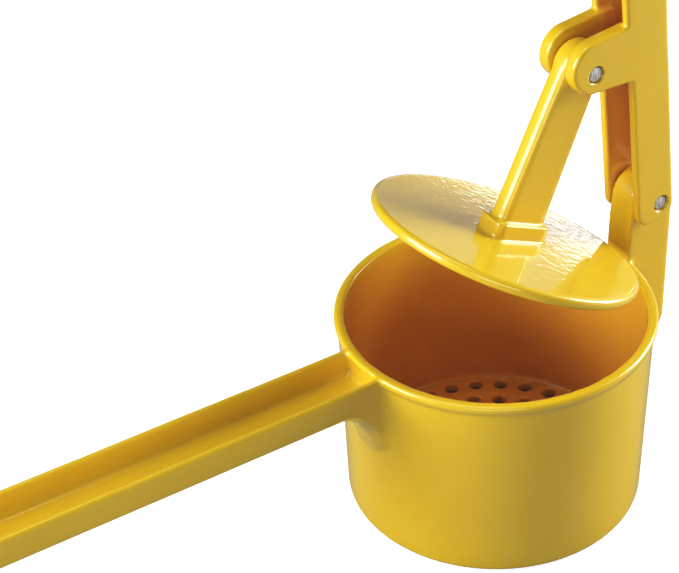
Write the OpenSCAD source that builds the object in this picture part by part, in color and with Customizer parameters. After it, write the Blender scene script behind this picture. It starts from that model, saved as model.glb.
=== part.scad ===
// Potato ricer: a round perforated cup with a long channel handle, and a second
// long lever that pushes a hinged plate down into the cup. Millimetres.
// Origin on the cup's axis at its underside, +Z up, +X toward the hinge post.

/* [Cup] */
// height from the underside to the flat lip
cup_h = 59.6; // [40:0.1:90]
// outer radius of the lip
lip_r = 45; // [35:0.1:60]
// thickness of the lip's band
lip_h = 2.6; // [1:0.1:6]
// outer radius of the wall just under the lip
wall_top_r = 44; // [34:0.1:59]
// outer radius of the wall at the underside
wall_base_r = 42.8; // [33:0.1:58]
// inner radius at the lip
bore_top_r = 42.1; // [32:0.1:58]
// inner radius at the strainer floor
bore_base_r = 41; // [32:0.1:57]
// rounding of the outer bottom edge
base_round = 1.1; // [0.2:0.1:4]

/* [Strainer floor] */
// thickness of the perforated floor
floor_t = 3.4; // [1.5:0.1:6]
// diameter of each hole
hole_d = 4; // [2:0.1:6]
// radial distance from one ring of holes to the next
ring_pitch = 7.4; // [5:0.1:12]
// rings of holes around the solid centre
hole_rings = 5; // [1:1:6]
// direction of the first hole in every ring, in degrees
hole_turn = -9.6; // [-30:0.1:30]

/* [Lower handle] */
// distance from the cup's axis to the free end
handle_reach = 220; // [120:1:300]
// outer width of the channel
handle_w = 17.5; // [12:0.1:30]
// outer depth of the channel
handle_d = 9.5; // [6:0.1:20]
// thickness of the channel's walls
handle_wall = 1.9; // [1:0.1:4]
// step down from the lip to the handle's top edges
handle_drop = 0.4; // [0:0.1:5]
// how far the handle rises outward, in degrees
handle_rise = 0.6; // [-5:0.1:10]
// radius of the sweep under the root
root_sweep_r = 18; // [5:0.5:30]
// radius of the fillets beside the root
root_side_r = 12; // [3:0.5:25]

/* [Hinge post] */
// side of the post nearest the cup's axis
post_in = 43.7; // [43:0.1:50]
// side of the post farthest from the cup's axis
post_out = 58.9; // [50:0.1:70]
// width of the post across the hinge axis
post_w = 9.6; // [6:0.1:16]
// height at which the foot starts to slope in to the cup
post_foot_z = 35; // [10:0.5:50]
// height at which the foot ends on the wall
post_foot_end_z = 3; // [1:0.5:30]
// slope of the foot, in degrees from upright
post_foot_slope = 20.5; // [5:0.5:45]

/* [Hinges] */
// hinge pin, distance from the cup's axis
hinge_x = 51.9; // [48:0.1:60]
// hinge pin, height
hinge_z = 78; // [66:0.1:100]
// plunger pin, distance from the cup's axis
plunger_pin_x = 26; // [10:0.1:40]
// plunger pin, height
plunger_pin_z = 127.1; // [100:0.1:150]
// diameter of both pins
pin_d = 4.5; // [3:0.1:8]
// running clearance around a pin, on the radius
pin_clear = 0.06; // [0.01:0.01:0.1]
// wider mouth of a pin hole, and how deep it is
mouth_d = 5.2; // [4:0.1:9]
mouth_t = 0.9; // [0.2:0.1:2]
// how far a pin's ends sit below the outer faces
pin_sunk = 0.45; // [0:0.05:1]

/* [Lever] */
// lean of the lever toward the cup, in degrees
lever_lean = 6.4; // [0:0.1:20]
// length from the hinge pin to the free end
lever_len = 266; // [150:1:320]
// outer width of the lever
lever_w = 15.2; // [12:0.1:24]
// gap between the lever's walls
lever_gap = 10; // [8:0.1:18]
// hinge pin to the closed back
lever_back = 4.4; // [3.5:0.1:10]
// hinge pin to the open front, beside the post
lever_front = 8.4; // [5:0.1:14]
// hinge pin to the open front, above the ears
lever_front_top = 9.5; // [5:0.1:16]
// hinge pin to the bottom ends of the cheeks
lever_tail = 5.2; // [4:0.1:8]
// thickness of the back and end wall
lever_back_t = 2.3; // [1.2:0.1:4]
// thickness of each ear
ear_t = 4.2; // [2.5:0.1:6]
// radius of an ear's end
ear_r = 7.6; // [5:0.1:12]

/* [Plunger] */
// centre of the plate's underside, distance from the cup's axis
plate_x = 2.4; // [-20:0.1:20]
// centre of the plate's underside, height
plate_z = 79.4; // [60:0.1:110]
// tilt of the plunger, in degrees
plate_tilt = 24.4; // [0:0.1:45]
// radius of the plate
plate_r = 38.4; // [30:0.1:41]
// thickness of the plate
plate_t = 3.2; // [2:0.1:6]
// thickness of the stem across the hinge axis
stem_w = 6.4; // [4:0.1:10]
// radius of the stem's knuckle
knuckle_r = 6.9; // [4:0.1:10]
// top of the pad under the stem
pad_top = 7.8; // [4:0.1:12]

/* [Hidden] */
$fn = 96;
slack = 0.01;
// holes are cut longer than the solid by this at each end
over = 1;
// the handle's top edges at its root
handle_z = cup_h - handle_drop;
handle_x = -44;
// the cup's wall at the height of the handle's root
root_wall_r = 43.6;
// the plunger pin in the plunger's own frame
pin_dx = plunger_pin_x - plate_x;
pin_dz = plunger_pin_z - plate_z;
pin_lx = pin_dx * cos(plate_tilt) - pin_dz * sin(plate_tilt);
pin_lz = pin_dx * sin(plate_tilt) + pin_dz * cos(plate_tilt);
// the plunger pin in the lever's own frame, measured from the hinge pin
arm_dx = plunger_pin_x - hinge_x;
arm_dz = plunger_pin_z - hinge_z;
arm_x = arm_dx * cos(lever_lean) + arm_dz * sin(lever_lean);
arm_z = -arm_dx * sin(lever_lean) + arm_dz * cos(lever_lean);
paint = [0.86, 0.68, 0.1];
steel = [0.6, 0.6, 0.62];

// a rectangle with its four corners rounded
module round_rect(x0, x1, y0, y1, r) {
    translate([x0 + r, y0]) square([x1 - x0 - 2 * r, y1 - y0]);
    translate([x0, y0 + r]) square([x1 - x0, y1 - y0 - 2 * r]);
    for (x = [x0 + r, x1 - r], y = [y0 + r, y1 - r])
        translate([x, y]) circle(r);
}

// a flat shape drawn in X and Z, made w thick and centred on Y
module slab(w, y = 0) {
    translate([0, y + w / 2, 0]) rotate([90, 0, 0]) linear_extrude(w) children();
}

// the lever's own frame: its length along Z, its open side toward -X
module lever_frame() {
    translate([hinge_x, 0, hinge_z]) rotate([0, -lever_lean, 0]) children();
}

// the plunger's own frame: its plate in X and Y, its stem along Z
module plunger_frame() {
    translate([plate_x, 0, plate_z]) rotate([0, plate_tilt, 0]) children();
}

// outline of the cup's wall and lip, from the axis outward
module cup_outline() {
    polygon([[0, base_round], [wall_base_r, base_round], [wall_top_r, cup_h - lip_h], [wall_top_r, cup_h - 1],
        [0, cup_h - 1]]);
    square([wall_base_r - base_round, cup_h - 2]);
    translate([wall_base_r - base_round, base_round]) circle(base_round);
    round_rect(wall_top_r - 4, lip_r, cup_h - lip_h, cup_h, 0.8);
}

// everything up to the cup's outer surface, which its neighbours are cut back to
module cup_envelope() {
    rotate_extrude() union() {
        cup_outline();
        translate([0, cup_h - 2]) square([bore_top_r, 20]);
        round_rect(wall_top_r - 4, lip_r, cup_h - lip_h, cup_h, 0.8);
    }
}

module cup() {
    color(paint) rotate_extrude() difference() {
        cup_outline();
        polygon([[-1, -1], [bore_base_r, -1], [bore_base_r, floor_t], [bore_top_r, cup_h - 0.6],
            [bore_top_r + 0.6, cup_h + slack], [bore_top_r + 0.6, cup_h + 1], [-1, cup_h + 1]]);
    }
}

module strainer_floor() {
    color(paint) difference() {
        cylinder(h = floor_t, r = bore_base_r);
        for (k = [1:hole_rings], i = [0:6 * k - 1])
            rotate([0, 0, hole_turn + i * 360 / (6 * k)]) translate([k * ring_pitch, 0, -over])
                cylinder(h = floor_t + 2 * over, d = hole_d, $fn = 32);
    }
}

// cross-section of the lower handle, top edges on the X axis
module handle_section() {
    difference() {
        union() {
            translate([-handle_w / 2, -handle_d + 2]) square([handle_w, handle_d - 2 - handle_wall / 2]);
            round_rect(-handle_w / 2, handle_w / 2, -handle_d, -1.5, 2);
            for (s = [-1, 1]) translate([s * (handle_w - handle_wall) / 2, -handle_wall / 2]) circle(d = handle_wall);
        }
        round_rect(-handle_w / 2 + handle_wall, handle_w / 2 - handle_wall, -handle_d + 2.1, 8, 2.2);
    }
}

// the sweep that carries the handle into the cup's wall, seen from the side
module root_side() {
    difference() {
        translate([handle_x - root_sweep_r, handle_z - handle_d - root_sweep_r])
            square([root_sweep_r + 8, root_sweep_r + handle_d - handle_wall]);
        translate([handle_x - root_sweep_r, handle_z - handle_d - root_sweep_r]) circle(root_sweep_r);
        translate([handle_x - root_sweep_r - 1, handle_z - handle_d - root_sweep_r - 40])
            square([root_sweep_r + 20, 40]);
    }
}

// the same sweep seen from above: the handle's width with a fillet on each side
module root_plan() {
    // the straight part lies just inside the handle's sides
    fy = handle_w / 2 - 0.15 + root_side_r;
    fx = -sqrt(pow(root_wall_r + root_side_r, 2) - fy * fy);
    // the fillet ends where it meets the wall
    ty = fy * root_wall_r / (root_wall_r + root_side_r);
    difference() {
        translate([handle_x - root_sweep_r, -ty]) square([root_sweep_r + 12, 2 * ty]);
        for (s = [-1, 1]) {
            translate([fx, s * fy]) circle(root_side_r);
            translate([fx - 40, s * fy - (s < 0 ? 40 - root_side_r : root_side_r)]) square([40, 40]);
        }
    }
}

module lower_handle() {
    color(paint) difference() {
        union() {
            // the channel
            translate([handle_x, 0, handle_z]) rotate([0, handle_rise, 0]) intersection() {
                translate([8, 0, 0]) rotate([90, 0, -90]) linear_extrude(handle_reach) handle_section();
                translate([0, 0, -20]) linear_extrude(40) union() {
                    translate([handle_x + 44 - (handle_reach - 44 - handle_w / 2), -handle_w])
                        square([handle_reach, 2 * handle_w]);
                    translate([-(handle_reach - 44 - handle_w / 2), 0]) circle(d = handle_w);
                }
            }
            // the end wall that closes the channel
            translate([handle_x, 0, handle_z]) rotate([0, handle_rise, 0]) difference() {
                translate([-(handle_reach - 44 - handle_w / 2), 0, -handle_d]) cylinder(h = handle_d - 0.6, d = handle_w - 0.6);
                translate([-(handle_reach - 44 - handle_w / 2), 0, -handle_d + 2.1]) cylinder(h = 20, d = handle_w - 2 * handle_wall);
                translate([-(handle_reach - 44 - handle_w / 2), -20, -20]) cube([40, 40, 40]);
            }
            // the swept root, under and beside the channel
            intersection() {
                slab(60) root_side();
                linear_extrude(80) root_plan();
                // its shoulders fall away on each side of the handle
                rotate([90, 0, 90]) translate([0, 0, -80]) linear_extrude(60)
                    polygon([[-40, 0], [40, 0], [40, handle_z - 32], [handle_w / 2 - 1, handle_z - 0.6],
                        [-handle_w / 2 + 1, handle_z - 0.6], [-40, handle_z - 32]]);
            }
        }
        cup_envelope();
        // the channel stays open down to the cup
        translate([handle_x, 0, handle_z]) rotate([0, handle_rise, 0]) translate([12, 0, 0])
            rotate([90, 0, -90]) linear_extrude(40)
                round_rect(-handle_w / 2 + handle_wall, handle_w / 2 - handle_wall, -handle_d + 2.1, 8, 2.2);
    }
}

module hinge_post() {
    foot_end_x = post_out - (post_foot_z - post_foot_end_z) * tan(post_foot_slope);
    color(paint) difference() {
        slab(post_w) difference() {
            // the upright with its sloping foot
            polygon([[post_in, cup_h - 1], [post_in, hinge_z + 20], [post_out, hinge_z + 20], [post_out, post_foot_z],
                [foot_end_x, post_foot_end_z], [bore_top_r, post_foot_end_z], [bore_top_r, cup_h - 1]]);
            // its round top
            difference() {
                translate([post_in - 5, hinge_z]) square([post_out - post_in + 10, 30]);
                translate([(post_in + post_out) / 2, hinge_z]) circle((post_out - post_in) / 2);
            }
        }
        cup_envelope();
        translate([hinge_x, 0, hinge_z]) rotate([90, 0, 0])
            cylinder(h = post_w + 2 * over, d = pin_d + 2 * pin_clear, center = true, $fn = 48);
    }
}

// a pin hole across Y with a wider mouth in each outer face
module pin_hole(w) {
    rotate([90, 0, 0]) cylinder(h = w + 2 * over, d = pin_d, center = true, $fn = 48);
    for (s = [-1, 1]) translate([0, s * (w / 2 - mouth_t / 2 + over / 2), 0]) rotate([90, 0, 0])
        cylinder(h = mouth_t + over, d = mouth_d, center = true, $fn = 48);
}

// side outline of the lever, back at +X, cheeks' ends at the bottom
module lever_side() {
    r = 4.2;
    translate([-lever_front, 0]) square([lever_front + lever_back, 50]);
    translate([-lever_front + r, -lever_tail]) square([lever_front + lever_back - 2 * r, 12]);
    translate([lever_back - r, -lever_tail + r]) circle(r);
    translate([-lever_front + r, -lever_tail + r]) circle(r);
    translate([-lever_front, -lever_tail + r]) square([lever_front + lever_back, 12]);
    translate([-lever_front_top, 46]) square([lever_front_top + lever_back, lever_len - 46 - 6]);
    round_rect(-lever_front_top, lever_back, lever_len - 40, lever_len, 5);
}

module lever() {
    color(paint) lever_frame() difference() {
        intersection() {
            slab(lever_w) lever_side();
            // rounded back corners
            translate([0, 0, -20]) linear_extrude(lever_len + 40) union() {
                translate([-30, -lever_w / 2]) square([30, lever_w]);
                round_rect(-20, lever_back, -lever_w / 2, lever_w / 2, 1.6);
            }
        }
        // the open channel
        translate([0, 0, 9]) linear_extrude(lever_len - 9 - lever_back_t)
            round_rect(-40, lever_back - lever_back_t, -lever_gap / 2, lever_gap / 2, 1.2);
        // the fork that takes the post
        slab(lever_gap) union() {
            translate([-30, -30]) square([60, 30]);
            translate([-30, -1]) square([30, 20]);
            circle(8.2);
            translate([0, -1]) square([30, 9]);
        }
        pin_hole(lever_w);
    }
}

// one ear that carries the plunger pin, outside face at y = s * lever_w / 2
module ear(s) {
    color(paint) lever_frame() difference() {
        slab(ear_t, s * (lever_w - ear_t) / 2) union() {
            polygon([[-lever_front, arm_z - 8], [-lever_front, 46], [-lever_front_top, 46], [-lever_front_top, arm_z + 9.5],
                [arm_x, arm_z + 9.5], [arm_x, arm_z - 5.7]]);
            translate([arm_x + 0.2, arm_z + 1.9]) circle(ear_r);
        }
        translate([arm_x, 0, arm_z]) pin_hole(lever_w);
    }
}

module left_ear() { ear(-1); }

module right_ear() { ear(1); }

module pin() {
    color(steel) rotate([90, 0, 0]) cylinder(h = lever_w - 2 * pin_sunk, d = pin_d, center = true, $fn = 48);
}

module hinge_pin() { lever_frame() pin(); }

module plunger_pin() { lever_frame() translate([arm_x, 0, arm_z]) pin(); }

module plunger_plate() {
    color(paint) plunger_frame() rotate_extrude() union() {
        square([plate_r - 1.2, plate_t]);
        translate([0, 1.2]) square([plate_r, plate_t - 2.4]);
        for (z = [1.2, plate_t - 1.2]) translate([plate_r - 1.2, z]) circle(1.2);
    }
}

module plunger_stem() {
    color(paint) plunger_frame() difference() {
        union() {
            // the flat stem, wider toward the plate
            intersection() {
                slab(stem_w) union() {
                    polygon([[-6.9, plate_t], [9.5, plate_t], [pin_lx + knuckle_r - 0.2, pin_lz - 4],
                        [pin_lx + knuckle_r, pin_lz], [pin_lx - knuckle_r, pin_lz]]);
                    translate([pin_lx, pin_lz]) circle(knuckle_r);
                }
                translate([0, 0, -1]) linear_extrude(90) round_rect(-20, 20, -stem_w / 2, stem_w / 2, 1);
            }
            // the pad it stands on
            translate([0, 0, plate_t]) linear_extrude(pad_top - plate_t) round_rect(-8.3, 10.3, -5, 5, 2.5);
        }
        translate([pin_lx, 0, pin_lz]) rotate([90, 0, 0])
            cylinder(h = stem_w + 2 * over, d = pin_d + 2 * pin_clear, center = true, $fn = 48);
    }
}

cup();
strainer_floor();
lower_handle();
hinge_post();
lever();
left_ear();
right_ear();
hinge_pin();
plunger_pin();
plunger_plate();
plunger_stem();
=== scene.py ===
import math
import bmesh
import bpy
from mathutils import Matrix, Vector


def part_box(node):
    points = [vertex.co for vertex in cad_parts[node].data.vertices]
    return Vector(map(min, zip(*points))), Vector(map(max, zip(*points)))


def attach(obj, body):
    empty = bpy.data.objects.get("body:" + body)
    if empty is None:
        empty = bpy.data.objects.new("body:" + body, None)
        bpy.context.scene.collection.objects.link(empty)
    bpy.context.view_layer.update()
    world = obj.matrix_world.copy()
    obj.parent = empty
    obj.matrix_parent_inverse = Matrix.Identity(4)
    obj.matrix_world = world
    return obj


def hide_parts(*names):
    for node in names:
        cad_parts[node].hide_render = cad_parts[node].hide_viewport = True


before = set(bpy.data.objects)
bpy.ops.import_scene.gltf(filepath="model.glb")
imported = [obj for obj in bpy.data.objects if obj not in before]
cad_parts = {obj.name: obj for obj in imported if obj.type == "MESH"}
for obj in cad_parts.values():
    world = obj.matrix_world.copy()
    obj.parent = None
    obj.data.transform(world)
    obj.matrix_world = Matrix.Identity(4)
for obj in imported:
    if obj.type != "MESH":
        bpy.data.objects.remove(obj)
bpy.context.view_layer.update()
bpy.ops.object.select_all(action="DESELECT")
print("frame loaded:", len(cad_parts), "nodes")

# pieces are modelled in millimetres and made metres when they are finished
millimetre = 0.001


def centreOf(node):
    low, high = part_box(node)
    return (low + high) / 2 / millimetre


hingeAt = centreOf("hinge_pin")
plungerAt = centreOf("plunger_pin")

# the camera, in metres and degrees
cameraValues = {
    "position": (-0.2503, -0.3342, 0.3619),
    "azimuth": -34.745,
    "elevation": 35.978,
    "roll": -0.484,
    "lens": 98.67,
    "shiftX": -0.1494,
    "shiftY": 0.0329,
}


def addCamera(v):
    a, e, r = (math.radians(v[k]) for k in ("azimuth", "elevation", "roll"))
    back = Vector((math.sin(a) * math.cos(e), -math.cos(a) * math.cos(e), math.sin(e)))
    right = Vector((math.cos(a), math.sin(a), 0))
    up = back.cross(right)
    sideways = right * math.cos(r) + up * math.sin(r)
    upwards = up * math.cos(r) - right * math.sin(r)
    turn = Matrix((sideways, upwards, back)).transposed().to_4x4()
    bpy.ops.object.camera_add()
    camera = bpy.context.object
    camera.matrix_world = Matrix.Translation(v["position"]) @ turn
    camera.data.lens = v["lens"]
    camera.data.sensor_width = 36
    camera.data.shift_x = v["shiftX"]
    camera.data.shift_y = v["shiftY"]
    camera.data.clip_start = 0.01
    camera.data.clip_end = 50
    bpy.context.scene.camera = camera


addCamera(cameraValues)
print("camera set")


def pick(piece, kind, rule):  # selects verts, edges or faces by place and normal
    bpy.ops.mesh.select_mode(type=kind)
    bpy.ops.mesh.select_all(action="DESELECT")
    mesh = bmesh.from_edit_mesh(piece.data)
    for part in {"VERT": mesh.verts, "EDGE": mesh.edges, "FACE": mesh.faces}[kind]:
        if kind == "VERT":
            part.select_set(rule(part.co, part.normal))
        elif kind == "EDGE":
            a, b = (v.co for v in part.verts)
            part.select_set(rule((a + b) / 2, (b - a).normalized()))
        else:
            part.select_set(rule(part.calc_center_median(), part.normal))
    bmesh.update_edit_mesh(piece.data)


def editing(piece):
    bpy.ops.object.select_all(action="DESELECT")
    piece.select_set(True)
    bpy.context.view_layer.objects.active = piece
    bpy.ops.object.mode_set(mode="EDIT")


def done(piece):
    bpy.ops.object.mode_set(mode="OBJECT")
    return piece


def roundBetween(piece, amount, steps, rule):  # bevels the edges that the rule picks
    pick(piece, "EDGE", rule)
    bpy.ops.mesh.bevel(offset=amount, segments=steps, affect="EDGES")


def addBlock(name, low, high, amount=0.8, steps=3, rule=None):  # a box with its edges rounded
    size = [h - l for l, h in zip(low, high)]
    middle = [(h + l) / 2 for l, h in zip(low, high)]
    bpy.ops.mesh.primitive_cube_add(size=1, location=middle, scale=size)
    block = bpy.context.object
    block.name = name
    bpy.ops.object.transform_apply()
    if amount:
        editing(block)
        roundBetween(block, amount, steps, rule or (lambda c, d: True))
        done(block)
    return block


def addDrum(name, centre, radius, width, amount=0.6, vertices=96, axis="Y"):  # a disc with rounded edges
    turn = (math.pi / 2, 0, 0) if axis == "Y" else (0, 0, 0)
    bpy.ops.mesh.primitive_cylinder_add(
        vertices=vertices, radius=radius, depth=width, location=centre, rotation=turn
    )
    drum = bpy.context.object
    drum.name = name
    bpy.ops.object.transform_apply()
    if amount:
        editing(drum)
        across = Vector((0, 1, 0)) if axis == "Y" else Vector((0, 0, 1))
        roundBetween(drum, amount, 3, lambda c, d: abs(d.dot(across)) < 0.01)
        done(drum)
    return drum


def joinAll(name, pieces):
    bpy.ops.object.select_all(action="DESELECT")
    for p in pieces:
        p.select_set(True)
    bpy.context.view_layer.objects.active = pieces[0]
    bpy.ops.object.join()
    pieces[0].name = name
    pieces[0].data.name = name
    return pieces[0]


def placeIn(piece, at, degrees):  # from a part's own frame to the cup's, turned about Y
    bpy.ops.object.select_all(action="DESELECT")
    piece.select_set(True)
    bpy.context.view_layer.objects.active = piece
    piece.rotation_euler = (0, math.radians(degrees), 0)
    piece.location = at
    bpy.ops.object.transform_apply()


def addModifier(piece, kind, **settings):
    bpy.context.view_layer.objects.active = piece
    modifier = piece.modifiers.new(kind.title(), kind)
    for name, value in settings.items():
        setattr(modifier, name, value)
    bpy.ops.object.modifier_apply(modifier=modifier.name)


def cutAway(piece, cutter):
    addModifier(piece, "BOOLEAN", operation="DIFFERENCE", solver="EXACT", object=cutter)
    bpy.data.objects.remove(cutter)


def castWhole(piece, v):  # melts overlapping solids into one skin with soft edges and corners
    addModifier(piece, "REMESH", mode="VOXEL", voxel_size=v["grain"], adaptivity=0)
    addModifier(piece, "SMOOTH", factor=0.5, iterations=v["softening"])
    if v["keptShare"] < 1:
        addModifier(piece, "DECIMATE", ratio=v["keptShare"])


def finishPiece(piece, body, slot, material, *nodes):
    bpy.ops.object.select_all(action="DESELECT")
    piece.select_set(True)
    bpy.context.view_layer.objects.active = piece
    piece.scale = (millimetre,) * 3
    bpy.ops.object.transform_apply()
    bpy.ops.object.shade_smooth()
    piece.data.materials.clear()
    piece.data.materials.append(material)
    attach(piece, body)
    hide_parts(*nodes)
    print(piece.name, "made:", sum(len(p.vertices) - 2 for p in piece.data.polygons), "triangles")
    return piece


def newGroup(name, inputs, outputs):
    group = bpy.data.node_groups.new(name, "ShaderNodeTree")
    for label, kind, value in inputs:
        socket = group.interface.new_socket(label, in_out="INPUT", socket_type=kind)
        socket.default_value = value
    for label, kind in outputs:
        group.interface.new_socket(label, in_out="OUTPUT", socket_type=kind)
    return group, group.nodes.new("NodeGroupInput"), group.nodes.new("NodeGroupOutput")


def addNode(tree, kind, **values):
    node = tree.nodes.new("ShaderNode" + kind)
    for name, value in values.items():
        if name in node.inputs:
            node.inputs[name].default_value = value
        else:
            setattr(node, name, value)
    return node


def makeCoatGroup():  # the ripple, cloudy tone and uneven gloss of a thick sprayed coat
    group, given, out = newGroup(
        "sprayedCoat",
        [("Position", "NodeSocketVector", (0, 0, 0)), ("Colour", "NodeSocketColor", (1, 1, 1, 1)),
         ("Deep Colour", "NodeSocketColor", (1, 1, 1, 1)), ("Ripple Size", "NodeSocketFloat", 420.0),
         ("Gloss", "NodeSocketFloat", 0.3)],
        [("Colour", "NodeSocketColor"), ("Roughness", "NodeSocketFloat"), ("Height", "NodeSocketFloat")],
    )
    link = group.links.new
    ripple = addNode(group, "TexNoise", Detail=2.0, Roughness=0.45)
    link(given.outputs["Position"], ripple.inputs["Vector"])
    link(given.outputs["Ripple Size"], ripple.inputs["Scale"])
    cloud = addNode(group, "TexNoise", Scale=38.0, Detail=3.0)
    link(given.outputs["Position"], cloud.inputs["Vector"])
    share = addNode(group, "MapRange")
    share.inputs["From Min"].default_value = 0.35
    share.inputs["From Max"].default_value = 0.7
    link(cloud.outputs["Fac"], share.inputs["Value"])
    mix = addNode(group, "Mix", data_type="RGBA")
    link(share.outputs["Result"], mix.inputs["Factor"])
    link(given.outputs["Colour"], mix.inputs["A"])
    link(given.outputs["Deep Colour"], mix.inputs["B"])
    link(mix.outputs["Result"], out.inputs["Colour"])
    dull = addNode(group, "Math", operation="MULTIPLY_ADD")
    dull.inputs[1].default_value = 0.08
    link(cloud.outputs["Fac"], dull.inputs[0])
    link(given.outputs["Gloss"], dull.inputs[2])
    link(dull.outputs["Value"], out.inputs["Roughness"])
    link(ripple.outputs["Fac"], out.inputs["Height"])
    return group


coatGroup = makeCoatGroup()

paintValues = {
    "colour": (0.79, 0.54, 0.012, 1),
    "deepColour": (0.76, 0.51, 0.010, 1),
    "roughness": 0.32,
    "coatRoughness": 0.06,
    "rippleSize": 420.0,
    "rippleDepth": 0.00004,
}

# painted shade: inside the bore the coat is painted redder, as light bouncing inside the cup would tint it
boreShadeValues = {"colour": (0.79, 0.445, 0.035, 1), "radius": 0.0427, "depth": 0.0575, "fade": 0.001}


def makeBoreShadeGroup(v):  # 1 inside the cup's bore, 0 outside: where the bore's painted shade goes
    group, given, out = newGroup(
        "boreShadeMask", [("Position", "NodeSocketVector", (0, 0, 0))], [("Inside", "NodeSocketFloat")]
    )
    link = group.links.new
    flat = addNode(group, "VectorMath", operation="MULTIPLY")
    flat.inputs[1].default_value = (1, 1, 0)
    link(given.outputs["Position"], flat.inputs[0])
    reach = addNode(group, "VectorMath", operation="LENGTH")
    link(flat.outputs["Vector"], reach.inputs[0])
    within = addNode(group, "MapRange")
    within.inputs["From Min"].default_value = v["radius"]
    within.inputs["From Max"].default_value = v["radius"] - v["fade"]
    link(reach.outputs["Value"], within.inputs["Value"])
    split = addNode(group, "SeparateXYZ")
    link(given.outputs["Position"], split.inputs["Vector"])
    below = addNode(group, "MapRange")
    below.inputs["From Min"].default_value = v["depth"]
    below.inputs["From Max"].default_value = v["depth"] - v["fade"]
    link(split.outputs["Z"], below.inputs["Value"])
    both = addNode(group, "Math", operation="MULTIPLY")
    link(within.outputs["Result"], both.inputs[0])
    link(below.outputs["Result"], both.inputs[1])
    link(both.outputs["Value"], out.inputs["Inside"])
    return group


boreShadeGroup = makeBoreShadeGroup(boreShadeValues)


def makePaint(name, v, hollowShadeMask=None, hollowShadeColour=None):
    material = bpy.data.materials.new(name)
    material.use_nodes = True
    tree = material.node_tree
    link = tree.links.new
    shader = tree.nodes["Principled BSDF"]
    place = addNode(tree, "TexCoord")
    skin = tree.nodes.new("ShaderNodeGroup")
    skin.node_tree = coatGroup
    skin.inputs["Colour"].default_value = v["colour"]
    skin.inputs["Deep Colour"].default_value = v["deepColour"]
    skin.inputs["Ripple Size"].default_value = v["rippleSize"]
    skin.inputs["Gloss"].default_value = v["roughness"]
    link(place.outputs["Object"], skin.inputs["Position"])
    link(skin.outputs["Colour"], shader.inputs["Base Color"])
    # painted shade: where the mask says, a hollow's darker, redder colour replaces the coat's own
    if hollowShadeMask:
        mask = tree.nodes.new("ShaderNodeGroup")
        mask.node_tree = hollowShadeMask
        link(place.outputs["Object"], mask.inputs["Position"])
        mix = addNode(tree, "Mix", data_type="RGBA")
        mix.inputs["B"].default_value = hollowShadeColour
        link(mask.outputs["Inside"], mix.inputs["Factor"])
        link(skin.outputs["Colour"], mix.inputs["A"])
        link(mix.outputs["Result"], shader.inputs["Base Color"])
    link(skin.outputs["Roughness"], shader.inputs["Roughness"])
    bump = addNode(tree, "Bump", Strength=1.0, Distance=v["rippleDepth"])
    link(skin.outputs["Height"], bump.inputs["Height"])
    link(bump.outputs["Normal"], shader.inputs["Normal"])
    link(bump.outputs["Normal"], shader.inputs["Coat Normal"])
    shader.inputs["Coat Weight"].default_value = 1.0
    shader.inputs["Coat Roughness"].default_value = v["coatRoughness"]
    shader.inputs["IOR"].default_value = 1.5
    return material


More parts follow.
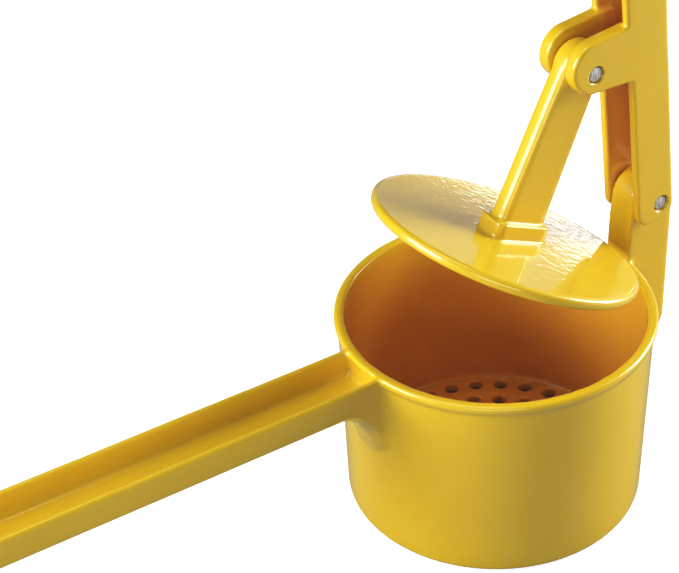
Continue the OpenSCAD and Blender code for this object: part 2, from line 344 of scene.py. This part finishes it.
def makeTurnedGroup():  # lathe rings and scratches on a pin's end, and painted shade round its edge
    group, given, out = newGroup(
        "turnedSteel",
        [("Position", "NodeSocketVector", (0, 0, 0)), ("Bright", "NodeSocketColor", (1, 1, 1, 1)),
         ("Wear And Edge Shade", "NodeSocketColor", (0, 0, 0, 1)), ("Edge", "NodeSocketFloat", 0.002),
         ("Gloss", "NodeSocketFloat", 0.3)],
        [("Colour", "NodeSocketColor"), ("Roughness", "NodeSocketFloat"), ("Height", "NodeSocketFloat")],
    )
    link = group.links.new
    rings = addNode(group, "TexWave", wave_type="RINGS", rings_direction="Y", Scale=900.0, Distortion=3.0)
    link(given.outputs["Position"], rings.inputs["Vector"])
    stretch = addNode(group, "Mapping", Scale=(3.0, 1.0, 0.4), Rotation=(0, 0.6, 0))
    link(given.outputs["Position"], stretch.inputs["Vector"])
    scratch = addNode(group, "TexNoise", Scale=750.0, Detail=4.0, Roughness=0.7)
    link(stretch.outputs["Vector"], scratch.inputs["Vector"])
    across = addNode(group, "VectorMath", operation="MULTIPLY")
    across.inputs[1].default_value = (1, 0, 1)
    link(given.outputs["Position"], across.inputs[0])
    reach = addNode(group, "VectorMath", operation="LENGTH")
    link(across.outputs["Vector"], reach.inputs[0])
    past = addNode(group, "Math", operation="DIVIDE")
    link(reach.outputs["Value"], past.inputs[0])
    link(given.outputs["Edge"], past.inputs[1])
    # painted shade: the rim of the pin's end is darkened, where the hole's mouth shades it
    edgeShade = addNode(group, "MapRange")
    edgeShade.inputs["From Min"].default_value = 0.78
    edgeShade.inputs["From Max"].default_value = 1.0
    link(past.outputs["Value"], edgeShade.inputs["Value"])
    worn = addNode(group, "MapRange")
    worn.inputs["From Min"].default_value = 0.44
    worn.inputs["From Max"].default_value = 0.62
    worn.inputs["To Max"].default_value = 0.6
    link(scratch.outputs["Fac"], worn.inputs["Value"])
    # the scratches' wear and the painted edge shade share one dark colour
    dark = addNode(group, "Math", operation="MAXIMUM")
    link(edgeShade.outputs["Result"], dark.inputs[0])
    link(worn.outputs["Result"], dark.inputs[1])
    mix = addNode(group, "Mix", data_type="RGBA")
    link(dark.outputs["Value"], mix.inputs["Factor"])
    link(given.outputs["Bright"], mix.inputs["A"])
    link(given.outputs["Wear And Edge Shade"], mix.inputs["B"])
    link(mix.outputs["Result"], out.inputs["Colour"])
    dull = addNode(group, "Math", operation="MULTIPLY_ADD")
    dull.inputs[1].default_value = 0.3
    link(dark.outputs["Value"], dull.inputs[0])
    link(given.outputs["Gloss"], dull.inputs[2])
    link(dull.outputs["Value"], out.inputs["Roughness"])
    both = addNode(group, "Math", operation="MULTIPLY_ADD")
    both.inputs[1].default_value = 0.4
    link(rings.outputs["Fac"], both.inputs[0])
    link(scratch.outputs["Fac"], both.inputs[2])
    link(both.outputs["Value"], out.inputs["Height"])
    return group


turnedGroup = makeTurnedGroup()

steelValues = {
    "bright": (0.95, 0.92, 0.90, 1),
    # dark colour of the scratches and of the painted shade round the pin's edge
    "wearAndEdgeShade": (0.10, 0.08, 0.06, 1),
    "edge": 0.00225,
    "roughness": 0.42,
    "scratchDepth": 0.00003,
}


def makeSteel(name, v, centre):
    material = bpy.data.materials.new(name)
    material.use_nodes = True
    tree = material.node_tree
    link = tree.links.new
    shader = tree.nodes["Principled BSDF"]
    place = addNode(tree, "TexCoord")
    onPin = addNode(tree, "Mapping", Location=[-c * millimetre for c in centre])
    link(place.outputs["Object"], onPin.inputs["Vector"])
    skin = tree.nodes.new("ShaderNodeGroup")
    skin.node_tree = turnedGroup
    skin.inputs["Bright"].default_value = v["bright"]
    skin.inputs["Wear And Edge Shade"].default_value = v["wearAndEdgeShade"]
    skin.inputs["Edge"].default_value = v["edge"]
    skin.inputs["Gloss"].default_value = v["roughness"]
    link(onPin.outputs["Vector"], skin.inputs["Position"])
    link(skin.outputs["Colour"], shader.inputs["Base Color"])
    link(skin.outputs["Roughness"], shader.inputs["Roughness"])
    bump = addNode(tree, "Bump", Strength=1.0, Distance=v["scratchDepth"])
    link(skin.outputs["Height"], bump.inputs["Height"])
    link(bump.outputs["Normal"], shader.inputs["Normal"])
    shader.inputs["Metallic"].default_value = 1.0
    return material


yellowCoat = makePaint("yellowCoat", paintValues)
# the cup's coat, with painted shade inside its bore
cupCoatBoreShaded = makePaint("cupCoatBoreShaded", paintValues, boreShadeGroup, boreShadeValues["colour"])
print("finishes made")

# the cup with its handle and post, one casting
cupValues = {
    "height": 59.6,
    "baseRadius": 42.8,
    "wallTopRadius": 44.0,
    "lipRadius": 45.0,
    "lipBand": 2.6,
    "lipSlope": 1.6,
    "boreTop": 42.1,
    "boreBase": 41.0,
    "floor": 3.4,
    "facets": 256,
}
holeValues = {"diameter": 4.0, "pitch": 7.4, "rings": 5, "turn": -9.6}
handleValues = {
    "reach": 220.0,
    "width": 17.5,
    "depth": 9.5,
    "wall": 1.9,
    "floor": 2.1,
    "rise": 0.6,  # degrees
    "rootX": -44.0,
    "drop": 0.4,
}
rootValues = {
    "sweep": 18.0,
    "side": 12.0,
    "wallRadius": 43.6,
    "steps": 14,
    "insideHandle": 0.15,
    "intoWall": 1.3,
    "topDrop": 0.6,
    "topInner": 5.0,
    "topHalf": 7.75,
    "shoulderSlope": 0.974,
    "lowCut": 1.6,
    "lowCutMore": 3.2,
    "troughStart": -95.0,
    "troughOver": 4.0,
    "troughAbove": 12.0,
}
postValues = {
    "inner": 43.7,
    "outer": 58.9,
    "width": 9.6,
    "footHeight": 35.0,
    "footEnd": 3.0,
    "footSlope": 20.5,  # degrees from upright
    "intoWall": 1.6,
}
cupCasting = {"grain": 0.5, "softening": 9, "keptShare": 0.33}


def radiusOf(c):
    return math.hypot(c.x, c.y)


def makeCup(v):
    top = v["height"] - v["lipBand"] - v["lipSlope"] / 2
    bpy.ops.mesh.primitive_cylinder_add(
        vertices=v["facets"], radius=v["baseRadius"], depth=top, location=(0, 0, top / 2)
    )
    cup = bpy.context.object
    bpy.ops.object.transform_apply()
    editing(cup)
    pick(cup, "FACE", lambda c, n: n.z > 0.9)
    widen = v["wallTopRadius"] / v["baseRadius"]
    bpy.ops.transform.resize(value=(widen, widen, 1), center_override=(0, 0, top))
    bpy.ops.mesh.extrude_region_move(TRANSFORM_OT_translate={"value": (0, 0, v["lipSlope"])})
    widen = v["lipRadius"] / v["wallTopRadius"]
    bpy.ops.transform.resize(value=(widen, widen, 1), center_override=(0, 0, top))
    rest = v["lipBand"] - v["lipSlope"] / 2
    bpy.ops.mesh.extrude_region_move(TRANSFORM_OT_translate={"value": (0, 0, rest)})
    bpy.ops.mesh.inset(thickness=v["lipRadius"] - v["boreTop"])
    bpy.ops.mesh.extrude_region_move(TRANSFORM_OT_translate={"value": (0, 0, v["floor"] - v["height"])})
    narrow = v["boreBase"] / v["boreTop"]
    bpy.ops.transform.resize(value=(narrow, narrow, 1), center_override=(0, 0, v["floor"]))

    def onTop(c, d):
        return abs(d.z) < 0.01 and c.z > v["height"] - 0.1

    roundBetween(cup, 0.8, 3, lambda c, d: onTop(c, d) and radiusOf(c) > v["boreTop"] + 1)
    roundBetween(cup, 0.5, 2, lambda c, d: onTop(c, d) and radiusOf(c) < v["boreTop"] + 0.2)
    roundBetween(cup, 1.1, 4, lambda c, d: abs(d.z) < 0.01 and c.z < 0.01)
    return done(cup)


def cutHoles(cup, v):
    bpy.ops.mesh.primitive_cylinder_add(vertices=32, radius=v["diameter"] / 2, depth=12)
    first = bpy.context.object
    cutters = []
    for ring in range(1, v["rings"] + 1):
        for i in range(6 * ring):
            angle = math.radians(v["turn"] + i * 60 / ring)
            copy = bpy.data.objects.new("hole", first.data.copy())
            bpy.context.collection.objects.link(copy)
            copy.location = (ring * v["pitch"] * math.cos(angle), ring * v["pitch"] * math.sin(angle), 0)
            cutters.append(copy)
    bpy.data.objects.remove(first)
    drill = joinAll("drill", cutters)
    bpy.ops.object.transform_apply()
    cutAway(cup, drill)


def makeHandle(v, cupHeight):
    topZ = cupHeight - v["drop"]
    half = v["width"] / 2
    handle = addBlock("handle", (-v["reach"], -half, topZ - v["depth"]), (v["rootX"] + 1.6, half, topZ), 0)
    editing(handle)
    # the free end is a half circle in plan
    roundBetween(handle, half - 0.02, 16, lambda c, d: abs(d.z) > 0.9 and c.x < -v["reach"] + 1)
    bpy.ops.mesh.select_all(action="SELECT")
    bpy.ops.mesh.remove_doubles(threshold=0.1)
    pick(handle, "FACE", lambda c, n: n.z > 0.9)
    bpy.ops.mesh.inset(thickness=v["wall"])
    bpy.ops.mesh.extrude_region_move(TRANSFORM_OT_translate={"value": (0, 0, v["floor"] - v["depth"])})
    floorZ = topZ - v["depth"] + v["floor"]
    roundBetween(handle, 2.0, 4, lambda c, d: abs(d.z) < 0.01 and abs(c.z - floorZ) < 0.01)
    roundBetween(handle, 2.0, 4, lambda c, d: abs(d.z) < 0.01 and c.z < topZ - v["depth"] + 0.01)
    roundBetween(handle, 0.8, 3, lambda c, d: abs(d.z) < 0.01 and c.z > topZ - 0.01)
    bpy.ops.mesh.select_all(action="SELECT")
    bpy.ops.transform.rotate(  # without a window a positive angle turns the end down
        value=-math.radians(v["rise"]), orient_axis="Y", center_override=(v["rootX"], 0, topZ)
    )
    return done(handle)


def cutChannel(root, v, h, cupHeight):  # the channel runs on through the flare, up to the wall
    topZ = cupHeight - h["drop"]
    inside = h["width"] / 2 - h["wall"]
    low = (v["troughStart"], -inside, topZ - h["depth"] + h["floor"])
    high = (h["rootX"] + v["troughOver"], inside, topZ + v["troughAbove"])
    trough = addBlock("trough", low, high, 0)
    editing(trough)
    roundBetween(trough, 2.0, 4, lambda c, d: abs(d.x) > 0.9 and c.z < topZ)
    bpy.ops.mesh.select_all(action="SELECT")
    bpy.ops.transform.rotate(
        value=-math.radians(h["rise"]), orient_axis="Y", center_override=(h["rootX"], 0, topZ)
    )
    done(trough)
    cutAway(root, trough)


def makeRoot(v, h, cupHeight):  # the flare that carries the handle into the wall
    topZ = cupHeight - h["drop"]
    lowZ = topZ - h["depth"]
    half = h["width"] / 2 - v["insideHandle"]
    startX = h["rootX"] - v["sweep"]
    filletY = half + v["side"]
    filletX = -math.sqrt((v["wallRadius"] + v["side"]) ** 2 - filletY**2)
    endX = -v["wallRadius"] + v["intoWall"]
    stride = (endX - startX) / v["steps"]
    bpy.ops.mesh.primitive_circle_add(
        vertices=10, radius=8, fill_type="NGON", location=(startX, 0, lowZ + 5), rotation=(0, math.pi / 2, 0)
    )
    root = bpy.context.object
    bpy.ops.object.transform_apply()

    def outline(x):  # ten points round the section at x, from the top left, downwards
        sweepUp = v["sweep"] ** 2 - (x - startX) ** 2
        bottom = lowZ - v["sweep"] + math.sqrt(max(sweepUp, 0))
        wide = half
        if x > filletX:
            wide = filletY - math.sqrt(max(v["side"] ** 2 - (x - filletX) ** 2, 0))
        wide = min(wide, math.sqrt(max(v["wallRadius"] ** 2 - x * x, half * half)))
        high = topZ - v["topDrop"]
        shoulder = high - (wide - v["topHalf"]) * v["shoulderSlope"]
        # the lower edge is softer towards the wall
        cut = v["lowCut"] + v["lowCutMore"] * (x - startX) / v["sweep"]
        side = [(-v["topInner"], high), (-v["topHalf"], high), (-wide, shoulder)]
        side += [(-wide, bottom + cut), (-wide + cut, bottom)]
        return side + [(-y, z) for y, z in reversed(side)]

    editing(root)
    mesh = bmesh.from_edit_mesh(root.data)
    ring = list(next(iter(mesh.faces)).verts)
    # the ring starts at the section's own points
    for vert, (y, z) in zip(ring, outline(startX)):
        vert.co = Vector((startX, y, z))
    bmesh.update_edit_mesh(root.data)
    for i in range(1, v["steps"] + 1):
        x = startX + (endX - startX) * i / v["steps"]
        bpy.ops.mesh.select_all(action="DESELECT")
        mesh = bmesh.from_edit_mesh(root.data)
        ends = [f for f in mesh.faces if len(f.verts) == 10]
        face = max(ends, key=lambda f: f.calc_center_median().x)
        face.select_set(True)
        bmesh.update_edit_mesh(root.data)
        bpy.ops.mesh.extrude_region_move(TRANSFORM_OT_translate={"value": (stride, 0, 0)})
        mesh = bmesh.from_edit_mesh(root.data)
        face = next(f for f in mesh.faces if f.select)
        corners = list(face.verts)
        for vert, (y, z) in zip(corners, outline(x)):
            vert.co = Vector((x, y, z))
        bmesh.update_edit_mesh(root.data)
    bpy.ops.mesh.select_all(action="SELECT")
    bpy.ops.mesh.normals_make_consistent(inside=False)
    done(root)
    cutChannel(root, v, h, cupHeight)
    return root


def makePost(v, at):
    half = v["width"] / 2
    post = addBlock("post", (v["inner"], -half, v["footHeight"]), (v["outer"], half, at.z), 0)
    editing(post)
    # the foot slopes in to the wall, and its inner side reaches into it
    drop = v["footHeight"] - v["footEnd"]
    slopeIn = drop * math.tan(math.radians(v["footSlope"]))
    pick(post, "FACE", lambda c, n: n.z < -0.9)
    bpy.ops.mesh.extrude_region_move(TRANSFORM_OT_translate={"value": (0, 0, -drop)})
    pick(post, "VERT", lambda c, n: c.z < v["footEnd"] + 0.1 and c.x > v["outer"] - 1)
    bpy.ops.transform.translate(value=(-slopeIn, 0, 0))
    pick(post, "VERT", lambda c, n: c.z < v["footHeight"] + 0.1 and c.x < v["inner"] + 0.1)
    bpy.ops.transform.translate(value=(-v["intoWall"], 0, 0))
    roundBetween(post, 0.9, 3, lambda c, d: c.z < at.z - 0.1 and c.x > v["inner"] + 1 and abs(d.y) < 0.5)
    done(post)
    radius = (v["outer"] - v["inner"]) / 2
    crown = addDrum("crown", ((v["inner"] + v["outer"]) / 2, 0, at.z), radius, v["width"], 0.9)
    return [post, crown]


cup = makeCup(cupValues)
cutHoles(cup, holeValues)
handle = makeHandle(handleValues, cupValues["height"])
root = makeRoot(rootValues, handleValues, cupValues["height"])
casting = joinAll("cup_casting", [cup, handle, root] + makePost(postValues, hingeAt))
castWhole(casting, cupCasting)
cupNodes = ["cup", "strainer_floor", "lower_handle", "hinge_post"]
finishPiece(casting, "cup_body", "yellow_coat", cupCoatBoreShaded, *cupNodes)

# the lever, in its own frame: the hinge pin at the origin, the lever along Z
leverValues = {
    # painted shade: the inside of the lever's channel is painted darker and redder
    "channelShadeColour": (0.68, 0.36, 0.05, 1),
    "lean": 6.4,  # degrees
    "length": 266.0,
    "width": 15.2,
    "gap": 10.0,
    "back": 4.4,
    "backWall": 2.3,
    "backStart": 9.0,
    "front": 8.4,
    "frontTop": 9.5,
    "tail": 5.2,
    "cheekRound": 4.1,
    "cheekTop": 50.0,
    "sideStart": 46.0,
    "armX": -20.27,
    "armZ": 51.68,
    "earThick": 4.2,
    "earRadius": 7.6,
    "earBelow": 5.7,
    "earAbove": 9.5,
    "earSlope": 2.3,
    "mouth": 5.2,
    "mouthDepth": 0.9,
}
leverCasting = {"grain": 0.45, "softening": 5, "keptShare": 0.7}


def makeLever(v):
    half = v["width"] / 2
    inside = half - 0.3
    parts = []
    for side in (-1, 1):
        y0, y1 = sorted((side * half, side * v["gap"] / 2))
        cheek = addBlock("cheek", (-v["front"], y0, -v["tail"]), (v["back"], y1, v["cheekTop"]), 0)
        editing(cheek)
        roundBetween(cheek, v["cheekRound"], 6, lambda c, d: abs(d.y) > 0.9 and c.z < 0)
        parts.append(done(cheek))
        low = (-v["frontTop"], y0, v["sideStart"])
        parts.append(addBlock("side", low, (v["back"], y1, v["length"]), 0.7, 3))
        parts += makeEar(v, side)
    far = (v["back"], inside, v["length"])
    parts.append(addBlock("spine", (v["back"] - v["backWall"], -inside, v["backStart"]), far, 0))
    parts.append(addBlock("end", (-v["frontTop"], -inside, v["length"] - v["backWall"]), far, 0))
    return joinAll("lever_casting", parts)


def makeEar(v, side):
    y0, y1 = sorted((side * v["width"] / 2, side * (v["width"] / 2 - v["earThick"])))
    low = (v["armX"], y0, v["armZ"] - v["earBelow"])
    high = (-v["front"] + 4, y1, v["armZ"] + v["earAbove"])
    ear = addBlock("ear", low, high, 0)
    editing(ear)
    pick(ear, "VERT", lambda c, n: c.z < v["armZ"] and c.x > -10)
    bpy.ops.transform.translate(value=(0, 0, -v["earSlope"]))
    done(ear)
    middle = (v["armX"] + 0.2, (y0 + y1) / 2, v["armZ"] + 1.9)
    return [ear, addDrum("earEnd", middle, v["earRadius"], v["earThick"], 0.5)]


def cutMouth(piece, v, x, z):  # the wider mouth of a pin hole in both outer faces
    for side in (-1, 1):
        drill = addDrum("drill", (x, side * (v["width"] / 2), z), v["mouth"] / 2, 2 * v["mouthDepth"], 0, 48)
        cutAway(piece, drill)


def makeChannelShadeGroup(v):  # 1 inside the lever's channel, 0 outside: where the channel's painted shade goes
    group, given, out = newGroup(
        "channelShadeMask", [("Position", "NodeSocketVector", (0, 0, 0))], [("Inside", "NodeSocketFloat")]
    )
    link = group.links.new
    own = addNode(group, "Mapping", vector_type="TEXTURE", Location=hingeAt * millimetre)
    own.inputs["Rotation"].default_value = (0, -math.radians(v["lean"]), 0)
    link(given.outputs["Position"], own.inputs["Vector"])
    split = addNode(group, "SeparateXYZ")
    link(own.outputs["Vector"], split.inputs["Vector"])
    beside = addNode(group, "Math", operation="ABSOLUTE")
    link(split.outputs["Y"], beside.inputs[0])
    between = addNode(group, "MapRange")
    between.inputs["From Min"].default_value = (v["gap"] / 2 + 0.9) * millimetre
    between.inputs["From Max"].default_value = (v["gap"] / 2 + 0.3) * millimetre
    link(beside.outputs["Value"], between.inputs["Value"])
    before = addNode(group, "MapRange")
    before.inputs["From Min"].default_value = (v["back"] - 0.5) * millimetre
    before.inputs["From Max"].default_value = (v["back"] - 1.0) * millimetre
    link(split.outputs["X"], before.inputs["Value"])
    behind = addNode(group, "MapRange")
    behind.inputs["From Min"].default_value = -v["frontTop"] * millimetre
    behind.inputs["From Max"].default_value = (2 - v["frontTop"]) * millimetre
    link(split.outputs["X"], behind.inputs["Value"])
    deep = addNode(group, "Math", operation="MULTIPLY")
    link(before.outputs["Result"], deep.inputs[0])
    link(behind.outputs["Result"], deep.inputs[1])
    inside = addNode(group, "Math", operation="MULTIPLY")
    link(between.outputs["Result"], inside.inputs[0])
    link(deep.outputs["Value"], inside.inputs[1])
    link(inside.outputs["Value"], out.inputs["Inside"])
    return group


# the lever's coat, with painted shade inside its channel
leverCoatChannelShaded = makePaint("leverCoatChannelShaded", paintValues, makeChannelShadeGroup(leverValues), leverValues["channelShadeColour"])
lever = makeLever(leverValues)
castWhole(lever, leverCasting)
cutMouth(lever, leverValues, 0, 0)
cutMouth(lever, leverValues, leverValues["armX"], leverValues["armZ"])
placeIn(lever, hingeAt, -leverValues["lean"])
finishPiece(lever, "lever_body", "yellow_coat", leverCoatChannelShaded, "lever", "left_ear", "right_ear")

# the plunger, in its own frame: the plate flat at the origin
plungerValues = {
    "tilt": 24.4,  # degrees
    "plateX": 2.4,
    "plateZ": 79.4,
    "plateRadius": 38.4,
    "plateThick": 3.2,
    "stemLow": -6.9,
    "stemHigh": 9.5,
    "stemWidth": 6.4,
    "knuckle": 6.9,
    "padLow": -8.3,
    "padHigh": 10.3,
    "padHalf": 5.0,
    "padTop": 7.8,
}
plungerCasting = {"grain": 0.4, "softening": 5, "keptShare": 1.0}


def makePlunger(v):
    tilt = math.radians(v["tilt"])
    dx, dz = plungerAt.x - v["plateX"], plungerAt.z - v["plateZ"]
    pinX = dx * math.cos(tilt) - dz * math.sin(tilt)
    pinZ = dx * math.sin(tilt) + dz * math.cos(tilt)
    plate = addDrum("plate", (0, 0, v["plateThick"] / 2), v["plateRadius"], v["plateThick"], 1.2, 256, "Z")
    half = v["stemWidth"] / 2
    foot = v["plateThick"] - 1
    stem = addBlock("stem", (v["stemLow"], -half, foot), (v["stemHigh"], half, pinZ), 0)
    editing(stem)
    # the stem's top narrows to the knuckle
    pick(stem, "VERT", lambda c, n: c.z > pinZ - 0.1 and c.x < 0)
    bpy.ops.transform.translate(value=(pinX - v["knuckle"] - v["stemLow"], 0, 0))
    pick(stem, "VERT", lambda c, n: c.z > pinZ - 0.1 and c.x > pinX)
    bpy.ops.transform.translate(value=(pinX + v["knuckle"] - v["stemHigh"], 0, 0))
    roundBetween(stem, 2.2, 4, lambda c, d: abs(d.z) > 0.9)
    done(stem)
    knuckle = addDrum("knuckle", (pinX, 0, pinZ), v["knuckle"], v["stemWidth"], 1.4)
    corner = (v["padHigh"], v["padHalf"], v["padTop"])
    pad = addBlock("pad", (v["padLow"], -v["padHalf"], foot), corner, 2.2, 4, lambda c, d: abs(d.z) > 0.9)
    return joinAll("plunger_casting", [plate, stem, knuckle, pad])


plunger = makePlunger(plungerValues)
castWhole(plunger, plungerCasting)
placeIn(plunger, (plungerValues["plateX"], 0, plungerValues["plateZ"]), plungerValues["tilt"])
finishPiece(plunger, "plunger_body", "yellow_coat", yellowCoat, "plunger_plate", "plunger_stem")

# the pins
pinValues = {"radius": 2.25, "length": 14.3}


def makePin(name, at, body, node):
    pin = addDrum(name, at, pinValues["radius"], pinValues["length"], 0.25, 48)
    finishPiece(pin, body, "pin_steel", makeSteel(name + "_steel", steelValues, at), node)


makePin("hinge_pin_turned", hingeAt, "lever_body", "hinge_pin")
makePin("plunger_pin_turned", plungerAt, "lever_body", "plunger_pin")

# floor and light
studioValues = {
    "floorSeen": 0.8,
    "floorBounce": 0.34,
    "shadeRadius": 0.041,
    "airSeen": 0.85,
    "airLight": 0.02,
    "lights": [
        # position, width, height, power
        ((-0.72, 0.19, 0.32), 0.5, 0.5, 7.3),
        ((0.68, -0.21, 0.26), 0.4, 0.5, 8.0),
        ((-0.62, -0.80, 0.34), 0.7, 0.4, 2.5),
        ((-0.2, 0.1, 1.2), 0.7, 0.7, 3.5),
        # the backdrop and the bright far edge of the table, which the plate mirrors
        ((1.10, 0.92, 0.25), 2.6, 0.5, 2.1),
        ((1.08, 0.90, 0.018), 0.6, 0.034, 0.25),
    ],
    # tone curve, from dark to bright
    "veil": 0.008,
    "contrast": [(0.05, 0.040), (0.12, 0.092), (0.28, 0.265), (0.45, 0.46), (0.7, 0.75)],
}


def addStudio(v):
    bpy.ops.mesh.primitive_plane_add(size=12, location=(0, 0, -0.0002))
    floor = bpy.context.object
    floor.name = "studio_floor"
    material = bpy.data.materials.new("studioFloor")
    material.use_nodes = True
    tree = material.node_tree
    tree.nodes.clear()
    # pale to look at, darker for what it throws back on the piece
    path = addNode(tree, "LightPath")
    paper = addNode(tree, "BsdfDiffuse", Color=(0.5, 0.5, 0.5, 1))
    glow = addNode(tree, "Emission", Color=(1, 1, 1, 1), Strength=v["floorSeen"])
    seen = addNode(tree, "AddShader")
    bounce = addNode(tree, "BsdfDiffuse", Color=(v["floorBounce"],) * 3 + (1,))
    mix = addNode(tree, "MixShader")
    out = addNode(tree, "OutputMaterial")
    link = tree.links.new
    link(paper.outputs["BSDF"], seen.inputs[0])
    link(glow.outputs["Emission"], seen.inputs[1])
    # under the cup it stays dark, so the holes look dark from above
    middle = addNode(tree, "TexCoord")
    reach = addNode(tree, "VectorMath", operation="LENGTH")
    link(middle.outputs["Object"], reach.inputs[0])
    beyond = addNode(tree, "Math", operation="GREATER_THAN")
    beyond.inputs[1].default_value = v["shadeRadius"]
    link(reach.outputs["Value"], beyond.inputs[0])
    lit = addNode(tree, "Math", operation="MULTIPLY")
    link(path.outputs["Is Camera Ray"], lit.inputs[0])
    link(beyond.outputs["Value"], lit.inputs[1])
    link(lit.outputs["Value"], mix.inputs["Fac"])
    link(bounce.outputs["BSDF"], mix.inputs[1])
    link(seen.outputs["Shader"], mix.inputs[2])
    link(mix.outputs["Shader"], out.inputs["Surface"])
    floor.data.materials.append(material)
    for place, wide, high, power in v["lights"]:
        bpy.ops.object.light_add(type="AREA", location=place)
        lamp = bpy.context.object
        lamp.data.shape = "RECTANGLE"
        lamp.data.size = wide
        lamp.data.size_y = high
        lamp.data.energy = power
        lamp.visible_camera = False
        aim = Vector((0, 0, 0.05)) - Vector(place)
        lamp.rotation_euler = aim.to_track_quat("-Z", "Y").to_euler()
    world = bpy.data.worlds.new("studioAir")
    world.use_nodes = True
    tree = world.node_tree
    # pale to look at, nearly dark for the piece, which the softboxes light
    sky = tree.nodes["Background"]
    path = addNode(tree, "LightPath")
    air = addNode(tree, "MapRange")
    air.inputs["To Min"].default_value = v["airLight"]
    air.inputs["To Max"].default_value = v["airSeen"]
    tree.links.new(path.outputs["Is Camera Ray"], air.inputs["Value"])
    tree.links.new(air.outputs["Result"], sky.inputs["Strength"])
    sky.inputs["Color"].default_value = (1, 1, 1, 1)
    bpy.context.scene.world = world
    look = bpy.context.scene.view_settings
    look.view_transform = "Standard"
    look.use_curve_mapping = True
    look.curve_mapping.curves[3].points[0].location = (0, v["veil"])
    for x, y in v["contrast"]:
        look.curve_mapping.curves[3].points.new(x, y)
    look.curve_mapping.update()
    bpy.context.scene.cycles.diffuse_bounces = 10


addStudio(studioValues)
print("studio lit")
